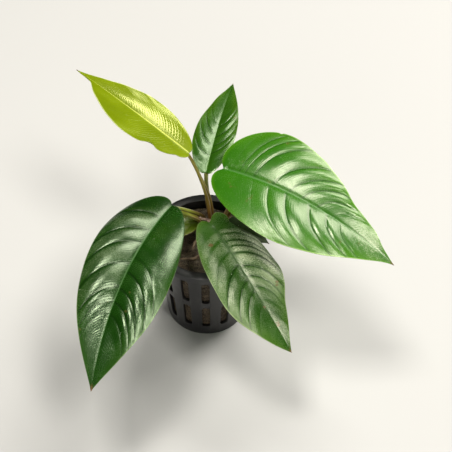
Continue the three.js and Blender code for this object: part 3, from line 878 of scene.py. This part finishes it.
def stalk_radius(leaf):
    """The rule for a stalk's radius: round at the neck, and below it a trough between two thin wings."""
    foot, sheath, neck = leaf["stalk"]
    shares = (0, 0.18, 0.35, 0.5, 0.7, 0.85, 0.93, 1)
    radii = (foot, sheath, sheath, (sheath + neck) / 2, neck, neck, neck, 0.4)

    def radius(share, angle):
        body = np.interp(share, shares, radii) * MM
        sheathed = 1 - np.clip((share - 0.1) / (SHEATH_END - 0.1), 0, 1) ** 2
        from_top = np.abs(angle)
        groove = (GROOVE_DEPTH + SHEATH_DEPTH * sheathed) * bell(from_top, GROOVE_WIDTH)
        wing = SHEATH_RISE * sheathed * bell(from_top - SHEATH_PLACE, SHEATH_EDGE)
        ripple = 0.03 * np.sin(7 * angle + 5 * share) * (1 - sheathed)
        return body * (0.93 - groove + wing + ripple) * rounded_ends(share, 0.02)

    return radius


def blend(tree, factor, low, high, mode="MIX"):
    """Two colours mixed by a factor. Each is a colour or the output of a node."""
    mix = tree.nodes.new("ShaderNodeMix")
    mix.data_type = "RGBA"
    mix.blend_type = mode
    tree.links.new(factor, mix.inputs["Factor"])
    set_or_link(tree, low, mix.inputs["A"])
    set_or_link(tree, high, mix.inputs["B"])
    return mix.outputs["Result"]


def product(tree, *values):
    """Values multiplied by each other."""
    result = values[0]
    for value in values[1:]:
        result = maths(tree, "MULTIPLY", result, value)
    return result


def stalk_material(name, green, foot_colour):
    """A stalk's skin: brown at the foot, papery at the sheath's edges, dark with painted shade in the groove,
    and streaked.
    """
    material, tree, shader = new_material(name)
    share = attribute(tree, "share")
    angle = attribute(tree, "angle")
    grain = add_group(tree, fine_grain, 300, 2200, 0.5)
    colour = two_tones(tree, share, foot_colour, green, 0.05, 0.5)
    wing = maths(tree, "COMPARE", angle, SHEATH_PLACE, math.radians(7))
    low = map_value(tree, share, 0.3, SHEATH_END, 0.8, 0, True)
    colour = blend(tree, product(tree, wing, low), colour, SHEATH_PAPER)
    # Painted shade darkens the bottom of the groove.
    painted_groove_shade = map_value(tree, angle, 0.3 * GROOVE_WIDTH, GROOVE_WIDTH, 0.85, 0)
    colour = blend(tree, painted_groove_shade, colour, GROOVE_PAINTED_SHADE)
    streaks = map_value(tree, grain["Mask"], 0.35, 0.65, 0.5, 0)
    colour = blend(tree, streaks, colour, STREAK_BROWN, "MULTIPLY")
    finish_skin(tree, shader, colour, grain, (0.28, 0.42), 0.05 * MM)
    return material


stalk_skins = {
    "stalk": stalk_material("stalk_skin", STALK_GREEN, STALK_FOOT),
    "stalk_young": stalk_material("young_stalk_skin", STALK_YOUNG, STALK_YOUNG_FOOT),
}
for name, leaf in LEAVES.items():
    heading = math.radians(leaf["heading"])
    upper = leaf.get("groove", (-math.cos(heading), -math.sin(heading), 1))
    stalk = bent_rod(stalk_route(leaf), stalk_radius(leaf), STALK_SIDES, STALK_CUTS, upper)
    slot = "stalk_young" if name == "young" else "stalk"
    set_piece(stalk, f"stalk_{name}", f"stem_{name}", stalk_skins[slot])

# The old sheath
# A withered, papery sheath of a leaf that has gone still clings round the stalks' feet, torn into two curled
# strips.
SHEATH_STRIPS = (
    ((-2.6, 1.5, 48.7), (-0.9, 1.3, 48.3), (1.2, 1.1, 47), (2.7, 0.9, 44.4)),
    ((-1.9, 2.4, 46.6), (0, 2, 47.3), (2.2, 1.8, 46.6), (3.4, 1.6, 44)),
)
STRIP_RADIUS = 0.34
STRIP_FLATNESS = 0.65
STRIP_SIDES, STRIP_CUTS = 12, 60
STRIP_UPPER = (0, 1, 0.4)
PAPER_PALE = (0.5, 0.36, 0.29)
PAPER_BROWN = (0.12, 0.06, 0.035)


def strip_radius(share, angle):
    flat = 1 - STRIP_FLATNESS * np.sin(angle) ** 2
    torn = 1 + 0.3 * np.sin(19 * share + 2) * np.sin(43 * share)
    return STRIP_RADIUS * MM * flat * torn * rounded_ends(share, 0.15)


material = grained_material(
    "old_sheath_paper", (700, 2600, 0.5), (PAPER_BROWN, PAPER_PALE), (0.38, 0.6), (0.4, 0.7), 0.1 * MM,
)
for number, route in enumerate(SHEATH_STRIPS, 1):
    strip = bent_rod(route, strip_radius, STRIP_SIDES, STRIP_CUTS, STRIP_UPPER)
    strip.name = f"old_sheath_{number}"
    strip.data.materials.append(material)
    bpy.ops.object.shade_smooth_by_angle(angle=math.radians(60))
    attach(strip, "root")

# The blades
# Each blade is a leathery sheet, thickest at its midrib and thin at its pale margin. The midrib and the side
# veins are sunk into its upper side, so that it swells into panels between them, and stand out below it.
# Three
# of them carry painted sheen: a pale colour between the veins that stands in for reflected light.
ROW_STEP = 0.3
ROWS_PER_PANEL = 6
COLUMNS = 34
ROW_SPREAD = 1.6
OUTWARD_POWER = 1.35
BLADE_THICK = 0.52
BLADE_EDGE = 0.2
SHOULDER = 0.6
LOBE_RISE = 0.3
TIP_HEIGHT = 0.17
OUTLINE_STEPS = 300
PANEL_LENGTH = 6
PANEL_SHAPE = 0.8
PANEL_LIMITS = (0.3, 1.3)
MIDRIB_WIDTH = 0.75
KEEL_HEIGHT = 0.75
KEEL_WIDTH = 0.75
KEEL_START = 0.03
VEIN_WIDTH = 0.07
VEIN_HEIGHT = 0.16
RIPPLE_STARTS = (0.4, 2.1)
# Painted glow of light shining through the thin edge: how much lighter and yellower its green is made.
PAINTED_GLOW_GAIN = (1.9, 1.35, 1)
SHEEN_PLAIN = (0.97, 1, 0.8)
SHEEN_GREEN = (0.82, 1, 0.7)
# Painted shade: a darkened reflection tint for the low leaf, which lies under the right leaf.
SHEEN_PAINTED_SHADE = (0.3, 0.38, 0.24)
SHEEN_YELLOW = (1, 1, 0.4)
RIB_GAP = 0.8
RIB_DRIFT = 220
RIB_BREAKS = 420
TIP_START = 0.955
LEAF_GRAIN = (95, 2700, 0.55)
LEAF_SHINE = 0.75
# Where the painted glow of light through the thin edge lies, by the share of the way out to the margin.
PAINTED_GLOW_ZONE = (0.5, 1)
VEIN_ZONE = 0.16
RIB_ZONE = (0.01, 0.03)
DULL_ZONE = (0.006, 0.02)
MARGIN_ZONE = (0.972, 0.99)
# Where the painted sheen lies: pale colour between the veins that stands in for reflected light.
PAINTED_SHEEN_SIDES = (-0.1, 0.1)
PAINTED_SHEEN_OFF_VEINS = (0.03, 0.3)
PAINTED_SHEEN_OFF_RIB = (0.02, 0.1)
PAINTED_SHEEN_EDGE = (0.72, 1)
PAINTED_SHEEN_GRAIN = (0.43, 0.6)
LEAF_UNDER = (0.06, 0.15, 0.03)
TIP_BROWN = (0.16, 0.07, 0.03)
SPECK_BROWN = (0.13, 0.08, 0.03)
SPECK_PALE = (0.55, 0.6, 0.45)
# Painted sheen: the pale colour laid between the veins in place of reflected light.
PAINTED_SHEEN_PALE = (0.44, 0.5, 0.32)


def smoothstep(value, start, end):
    t = np.clip((value - start) / (end - start), 0, 1)
    return t * t * (3 - 2 * t)


def bezier(*points):
    t = np.linspace(0, 1, OUTLINE_STEPS)[:, None]
    a, b, c, d = (np.array(point, float) for point in points)
    return (1 - t) ** 3 * a + 3 * (1 - t) ** 2 * t * b + 3 * (1 - t) * t**2 * c + t**3 * d


def half_outline(leaf, half, share):
    """Places on half of the flat outline, at shares of its way from the notch to the tip."""
    length, width = leaf["length"], half["width"]
    widest, lobe = half["widest"] * length, half["lobe"] * length
    rest = length - widest
    shoulder = widest - SHOULDER * (widest + lobe)
    foot = bezier((0, 0), (-2 * lobe, LOBE_RISE * width), (shoulder, width), (widest, width))
    belly = (widest + half["belly"] * rest, width)
    taper = (length - half["taper"] * rest, TIP_HEIGHT * width)
    line = np.vstack([foot, bezier((widest, width), belly, taper, (length, 0))[1:]])
    lengths = lengths_along(line)
    return places_at(share * lengths[-1], lengths, line)


def along_vein(leaf, half, share, outward):
    """Flat places on the side veins. A vein leaves the midrib at a share of the leaf's length and bows
    towards the tip, and outward runs from 0 at the midrib to 1 at the margin."""
    start = leaf["length"] * share
    end = half_outline(leaf, half, share ** half["sweep"])
    bow_x = start + half["bow"][0] * (end[..., 0] - start)
    bow_y = half["bow"][1] * end[..., 1]
    x = (1 - outward) ** 2 * start + 2 * (1 - outward) * outward * bow_x + outward**2 * end[..., 0]
    y = 2 * (1 - outward) * outward * bow_y + outward**2 * end[..., 1]
    for centre, reach, depth in half["bites"]:
        y = y - depth * bell(x - centre, reach) * smoothstep(outward, 0.5, 1)
    return x, y


def vein_count(half, share):
    """How many side veins lie between the notch and a place, with parts of panels as fractions."""
    return np.interp(share, half["veins"], np.arange(len(half["veins"])))


def panel_size(leaf, half, share):
    """The length of the panel at a place, against that of a full panel."""
    veins = np.array(half["veins"])
    lengths = np.diff(veins) * leaf["length"]
    return np.clip(np.interp(share, (veins[1:] + veins[:-1]) / 2, lengths) / PANEL_LENGTH, *PANEL_LIMITS)


def swelling(half, share):
    """How full the panels are: flat at the blade's base and at its tip."""
    start, full, sink, flat = half["swell"]
    return smoothstep(share, start, full) * (1 - smoothstep(share, sink, flat))


def relief(leaf, half, share, outward, shift):
    """How far panels, a half's own arch and the wavy margin lift the blade's surface."""
    panel = np.abs(np.sin(np.pi * vein_count(half, share))) ** PANEL_SHAPE * panel_size(leaf, half, share)
    swell = half["panels"] * panel * swelling(half, share) * np.sin(np.pi * outward ** half["crest"])
    even = share ** (1 / ROW_SPREAD)
    ripple = np.sin(2 * np.pi * leaf["waves"] * even + shift) * np.sin(np.pi * even)
    fade = np.sin(np.pi * even) * (1 - smoothstep(share, *half["swell"][2:]))
    return swell + half["arch"] * np.sin(np.pi * outward) * fade + leaf["wave"] * outward**2 * ripple


def by_side(leaf, column, rule):
    """Values of a rule, taken with the left half where column is positive and else with the right half."""
    left, right = rule(leaf["left"]), rule(leaf["right"])
    return np.where(column >= 0, left, right)


def on_blade(leaf, share, column, underside):
    """The blade's surface: share tells where a vein starts, column runs from the right margin to the left."""
    outward = np.abs(column) ** OUTWARD_POWER
    x, y = by_side(leaf, column, lambda half: along_vein(leaf, half, share, outward))
    y = y * np.sign(column)
    fold = math.radians(leaf["fold"])
    mean_width = (leaf["left"]["width"] + leaf["right"]["width"]) / 2
    places, across, above = midrib(leaf, x / leaf["length"])
    slim = (1 - share) ** 0.7 * min(1, leaf["length"] / 60)
    thickness = BLADE_EDGE + (BLADE_THICK - BLADE_EDGE) * (1 - outward**2)
    shift = np.where(column >= 0, *RIPPLE_STARTS)
    swell = by_side(leaf, column, lambda half: relief(leaf, half, share, outward, shift))
    lift = np.abs(y) * math.sin(fold) - leaf["curl"] * y * y / mean_width + swell
    count = by_side(leaf, column, lambda half: vein_count(half, share))
    vein = VEIN_HEIGHT * bell(count - np.rint(count), VEIN_WIDTH) * np.sin(np.pi * outward)
    inset = smoothstep(share, 0, KEEL_START)
    groove = leaf["rib"] * slim * bell(y, MIDRIB_WIDTH * (0.4 + slim)) * inset
    keel = KEEL_HEIGHT * slim * bell(y, KEEL_WIDTH * (0.3 + slim)) * inset
    height = lift + np.where(underside, -thickness / 2 - keel - vein * slim, thickness / 2 - groove)
    return (places + across * (y * math.cos(fold))[:, None] + above * height[:, None]) * MM


def blade(leaf):
    """A grid whose rows follow the side veins, with a row on each vein, made into a sheet with two sides."""
    count = max(int(leaf["length"] / ROW_STEP), ROWS_PER_PANEL * len(leaf["left"]["veins"]))
    even = np.linspace(0, 1, count) ** ROW_SPREAD
    rows = np.unique(np.round(np.concatenate([even, leaf["left"]["veins"], leaf["right"]["veins"]]), 5))
    bpy.ops.object.select_all(action="DESELECT")
    bpy.ops.mesh.primitive_grid_add(x_subdivisions=len(rows) - 1, y_subdivisions=2 * COLUMNS, size=1)
    sheet = bpy.context.object
    mesh = sheet.data
    x, y, _ = point_places(mesh)
    share = rows[np.rint((x + 0.5) * (len(rows) - 1)).astype(int)]
    column = np.rint(2 * y * COLUMNS) / COLUMNS
    put_values(mesh, share=share, column=column)
    mesh.vertices.foreach_set("co", on_blade(leaf, share, column, False).ravel())
    mesh.update()
    bpy.ops.object.mode_set(mode="EDIT")
    bpy.ops.mesh.select_all(action="SELECT")
    bpy.ops.mesh.remove_doubles(threshold=HAIR / 2)
    bpy.ops.object.mode_set(mode="OBJECT")
    count = len(mesh.vertices)
    thick = sheet.modifiers.new("thickness", "SOLIDIFY")
    thick.thickness = BLADE_THICK * MM
    apply_modifiers(sheet)
    share = point_values(mesh, "share")
    column = point_values(mesh, "column")
    underside = np.arange(len(mesh.vertices)) >= count
    mesh.vertices.foreach_set("co", on_blade(leaf, share, column, underside).ravel())
    ends = by_side(leaf, column, lambda half: half_outline(leaf, half, share ** half["sweep"])[:, 0])
    put_values(
        mesh,
        vein=by_side(leaf, column, lambda half: vein_count(half, share)),
        run=(leaf["length"] * share + ends) / 2,
        outward=np.abs(column) ** OUTWARD_POWER,
        underside=underside.astype(float),
        swollen=by_side(leaf, column, lambda half: swelling(half, share)),
        tip=smoothstep(share, TIP_START, 1),
    )
    mesh.update()
    return sheet


def rib_group():
    """Fine ribs along the side veins, broken and a little uneven, as a height."""
    tree, given, put_out = new_group("fine_ribs", ("Along", "Gap"), ("Height",))
    moved = maths(tree, "ADD", given["Along"], add_noise(tree, RIB_DRIFT))
    wave = maths(tree, "PINGPONG", maths(tree, "DIVIDE", moved, given["Gap"]), 0.5)
    share = map_value(tree, add_noise(tree, RIB_BREAKS), 0.35, 0.65, 0.3, 1.4)
    tree.links.new(product(tree, wave, share), put_out["Height"])
    return tree


def speck_group():
    """Small marks of age, as two masks for a few brown blemishes and fine pale specks."""
    tree, _, put_out = new_group("leaf_specks", (), ("Brown", "Pale"))
    for name, scale, start, end in (("Brown", 260, 0.7, 0.76), ("Pale", 900, 0.745, 0.775)):
        tree.links.new(map_value(tree, add_noise(tree, scale), start, end, 0, 1, True), put_out[name])
    return tree


fine_ribs = rib_group()
leaf_specks = speck_group()


def painted_sheen_cover(tree, painted_sheen, grain, outward, from_vein):
    """Where painted sheen lies: pale colour that stands in for reflected light. starts and ends are its range
    along the leaf in millimetres, halves is how much of it the right and the left half have, and after,
    in_veins and at_edge are what is left of it there."""
    run = attribute(tree, "run")
    return product(
        tree,
        map_value(tree, run, *painted_sheen["starts"], 0, painted_sheen["share"], True),
        map_value(tree, run, *painted_sheen["ends"], 1, painted_sheen["after"], True),
        map_value(tree, attribute(tree, "column"), *PAINTED_SHEEN_SIDES, *painted_sheen["halves"], True),
        map_value(tree, from_vein, *PAINTED_SHEEN_OFF_VEINS, painted_sheen["in_veins"], 1, True),
        map_value(tree, outward, *PAINTED_SHEEN_OFF_RIB, 0.2, 1, True),
        map_value(tree, outward, *PAINTED_SHEEN_EDGE, 1, painted_sheen["at_edge"], True),
        map_value(tree, grain["Height"], *PAINTED_SHEEN_GRAIN, 0.2, 1.1, True),
    )


def blade_material(name, deep, light, vein, rib, margin, under=LEAF_UNDER, sheen=SHEEN_PLAIN, ribs=0.032,
                   leather=0.045, gloss=0.25, wear=0.4, painted_glow=0.6, painted_sheen=None):
    """A leaf's skin: two greens in soft patches, a painted glow of light through the thin edge, the veins'
    darker green with painted shade in their creases, a pale margin, painted sheen where it is given, fine
    ribs between the veins and a leathery grain."""
    material, tree, shader = new_material(name)
    grain = add_group(tree, fine_grain, *LEAF_GRAIN)
    outward = attribute(tree, "outward")
    colour = two_tones(tree, grain["Mask"], deep, light)
    from_vein = maths(tree, "PINGPONG", attribute(tree, "vein"), 0.5)
    # Darker green at the veins where the panels swell: partly the veins' own tone, partly painted shade in
    # the creases.
    vein_tone_and_shade = map_value(tree, from_vein, 0, VEIN_ZONE, 0.75, 0, True)
    layers = [
        # painted glow of light shining through the thin outer edge
        (map_value(tree, outward, *PAINTED_GLOW_ZONE, 0, painted_glow, True), tuple(a * b for a, b in zip(light, PAINTED_GLOW_GAIN))),
        (product(tree, vein_tone_and_shade, attribute(tree, "swollen")), vein),
        (map_value(tree, outward, *RIB_ZONE, 0.7, 0, True), rib),
        (map_value(tree, outward, *MARGIN_ZONE, 0, 0.8, True), margin),
    ]
    # Painted sheen: pale colour that stands in for light reflected between the veins.
    if painted_sheen:
        layers.append((painted_sheen_cover(tree, painted_sheen, grain, outward, from_vein), PAINTED_SHEEN_PALE))
    specks = add_group(tree, leaf_specks)
    layers += [
        (product(tree, specks["Brown"], wear), SPECK_BROWN),
        (product(tree, specks["Pale"], wear), SPECK_PALE),
        (attribute(tree, "underside"), under),
        (attribute(tree, "tip"), TIP_BROWN),
    ]
    for cover, tone in layers:
        colour = blend(tree, cover, colour, tone)
    tree.links.new(colour, shader.inputs["Base Color"])
    rough = map_value(tree, grain["Height"], 0.35, 0.65, gloss - 0.05, gloss + 0.06)
    dull_rib = map_value(tree, outward, *DULL_ZONE, 0.5, 0)
    tree.links.new(maths(tree, "MAXIMUM", rough, dull_rib), shader.inputs["Roughness"])
    shader.inputs["Specular IOR Level"].default_value = LEAF_SHINE
    shader.inputs["Specular Tint"].default_value = (*sheen, 1)
    fine = product(tree, add_group(tree, fine_ribs, attribute(tree, "run"), RIB_GAP)["Height"], ribs)
    add_bump(tree, shader, maths(tree, "ADD", fine, product(tree, grain["Height"], leather)), MM)
    return material


# The right, left and front skins get painted sheen: pale colour between the veins in place of reflected
# light.
blade_skins = {
    "right": blade_material(
        "bright_leaf_skin",
        deep=(0.018, 0.112, 0.001), light=(0.031, 0.143, 0.002), vein=(0.01, 0.068, 0.001),
        rib=(0.03, 0.15, 0.01), margin=(0.25, 0.42, 0.1), under=(0.11, 0.27, 0.05),
        painted_sheen=dict(
            share=0.55, starts=(49, 64), ends=(80, 90), after=1, halves=(0.9, 1), in_veins=0.7, at_edge=0.8,
        ),
    ),
    "left": blade_material(
        "dark_leaf_skin",
        deep=(0.003, 0.026, 0.0004), light=(0.0075, 0.044, 0.001), vein=(0.002, 0.014, 0.0003),
        rib=(0.012, 0.07, 0.003), margin=(0.12, 0.2, 0.06),
        sheen=SHEEN_GREEN, leather=0.065, gloss=0.24,
        painted_sheen=dict(
            share=0.12, starts=(6, 18), ends=(34, 54), after=0, halves=(1, 0.12), in_veins=0, at_edge=0.5,
        ),
    ),
    "front": blade_material(
        "front_leaf_skin",
        deep=(0.012, 0.06, 0.001), light=(0.024, 0.09, 0.003), vein=(0.006, 0.03, 0.002),
        rib=(0.012, 0.06, 0.003), margin=(0.2, 0.28, 0.1),
        leather=0.1, gloss=0.28, wear=1,
        painted_sheen=dict(
            share=0.9, starts=(4, 12), ends=(18, 40), after=0.15, halves=(0.3, 1), in_veins=0, at_edge=0.15,
        ),
    ),
    "back": blade_material(
        "back_leaf_skin",
        deep=(0.014, 0.062, 0.001), light=(0.026, 0.09, 0.003), vein=(0.008, 0.036, 0.001),
        rib=(0.06, 0.14, 0.02), margin=(0.14, 0.22, 0.07),
        sheen=SHEEN_GREEN,
    ),
    "young": blade_material(
        "young_leaf_skin",
        deep=(0.13, 0.185, 0.0003), light=(0.18, 0.245, 0.0006), vein=(0.1, 0.155, 0.001),
        rib=(0.55, 0.6, 0.1), margin=(0.6, 0.65, 0.25), under=(0.25, 0.33, 0.02),
        sheen=SHEEN_YELLOW, ribs=0.01, leather=0.02, gloss=0.22, wear=0, painted_glow=0,
    ),
    "small": blade_material(
        "olive_leaf_skin",
        deep=(0.06, 0.1, 0.004), light=(0.11, 0.16, 0.007), vein=(0.04, 0.07, 0.004),
        rib=(0.1, 0.14, 0.02), margin=(0.24, 0.3, 0.1), under=(0.1, 0.15, 0.03),
    ),
    # The low leaf's olive green is darkened with painted shade, in its colours and in its reflection's tint.
    "low": blade_material(
        "low_leaf_painted_shade_skin",
        deep=(0.006, 0.016, 0.001), light=(0.012, 0.026, 0.002), vein=(0.004, 0.01, 0.001),
        rib=(0.04, 0.06, 0.01), margin=(0.04, 0.06, 0.015), under=(0.05, 0.07, 0.02),
        sheen=SHEEN_PAINTED_SHADE, gloss=0.5, wear=1,
    ),
}
for name, leaf in LEAVES.items():
    sheet = blade(leaf)
    set_piece(sheet, f"blade_{name}", f"leaf_{name}", blade_skins[name])
